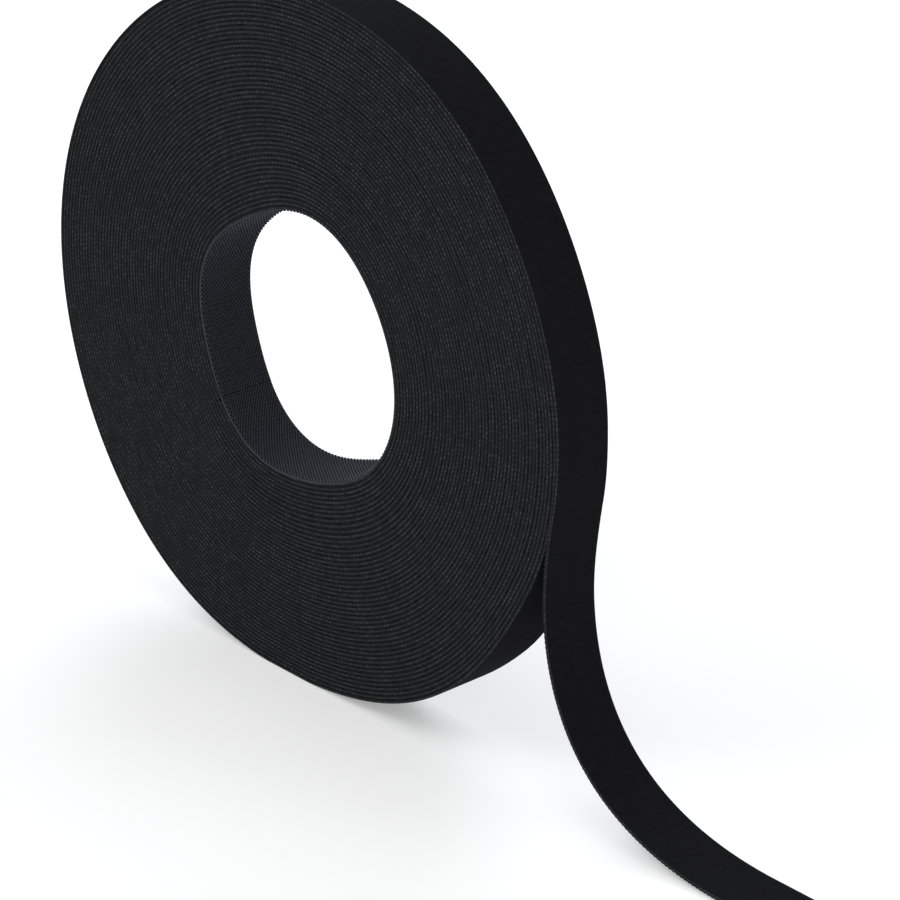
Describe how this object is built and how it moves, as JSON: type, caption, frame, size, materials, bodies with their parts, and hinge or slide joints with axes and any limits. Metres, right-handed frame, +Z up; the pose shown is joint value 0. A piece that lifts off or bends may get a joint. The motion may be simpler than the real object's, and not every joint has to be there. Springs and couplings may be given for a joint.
{
  "type": "hook and loop tape roll",
  "caption": "Coreless roll of back-to-back hook and loop tape standing on its rim, with the free end peeling off one side and running out along the floor.",
  "frame": {"origin": "centre of the flat on the roll's rim that it stands on, under the roll's axis", "axes": "+Z up, +Y along the roll's axis away from the front face, +X toward the side where the free end runs out"},
  "size_m": [0.3303, 0.019, 0.2098],
  "materials": {
    "loop_fabric": "matte napped knit",
    "hook_plastic": "satin moulded hooks"
  },
  "bodies": {
    "roll": {"loop_ply_roll": "loop_fabric", "hook_ply_roll": "hook_plastic"},
    "tail_upper": {"loop_ply_tail_upper": "loop_fabric", "hook_ply_tail_upper": "hook_plastic"},
    "tail_middle": {"loop_ply_tail_middle": "loop_fabric", "hook_ply_tail_middle": "hook_plastic"},
    "tail_end": {"loop_ply_tail_end": "loop_fabric", "hook_ply_tail_end": "hook_plastic"}
  },
  "joints": [
    {"name": "tail_peel", "type": "hinge", "parent": "roll", "child": "tail_upper", "pos_m": [0.10504, 0, 0.08701], "axis": [0, -1, 0], "range_deg": [0, 75]},
    {"name": "tail_bend", "type": "hinge", "parent": "tail_upper", "child": "tail_middle", "pos_m": [0.11275, 0, 0.02848], "axis": [0, -1, 0], "range_deg": [0, 40]},
    {"name": "tail_tip_bend", "type": "hinge", "parent": "tail_middle", "child": "tail_end", "pos_m": [0.16452, 0, 0.00175], "axis": [0, -1, 0], "range_deg": [0, 45]}
  ]
}
